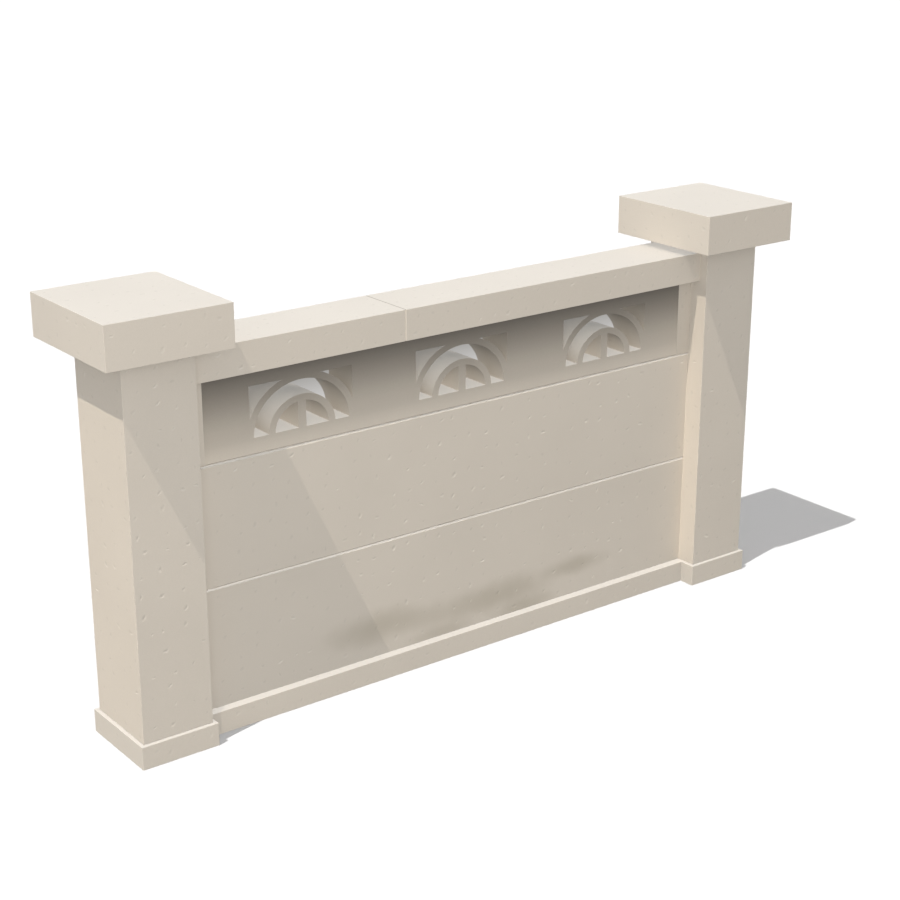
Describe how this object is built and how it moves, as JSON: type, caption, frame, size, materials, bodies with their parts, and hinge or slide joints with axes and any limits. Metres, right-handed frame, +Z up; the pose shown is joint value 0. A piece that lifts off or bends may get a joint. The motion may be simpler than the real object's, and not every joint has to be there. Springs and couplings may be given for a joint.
{
  "type": "precast concrete wall bay",
  "caption": "Free-standing bay of precast concrete wall: capped posts, ground rail, stacked panels, a pierced fan-light panel and a flat coping.",
  "frame": {"origin": "on the ground under the middle of the wall, at the bottom centre of its box", "axes": "+X along the wall to the right seen from the front, +Y away from the front through the wall, +Z up"},
  "size_m": [3.368, 0.575, 1.77],
  "materials": {
    "cast_concrete": "smooth cast concrete, matt, with small air pits",
    "shaded_concrete": "smooth cast concrete, weathered darker towards the coping"
  },
  "bodies": {
    "root": {"left_post_plinth": "cast_concrete", "left_post_shaft": "cast_concrete", "left_post_cap": "cast_concrete", "right_post_plinth": "cast_concrete", "right_post_shaft": "cast_concrete", "right_post_cap": "cast_concrete", "base_rail": "cast_concrete", "lower_panel": "cast_concrete", "middle_panel": "cast_concrete", "fan_panel": "shaded_concrete", "coping_short": "cast_concrete", "coping_long": "cast_concrete"}
  },
  "joints": []
}
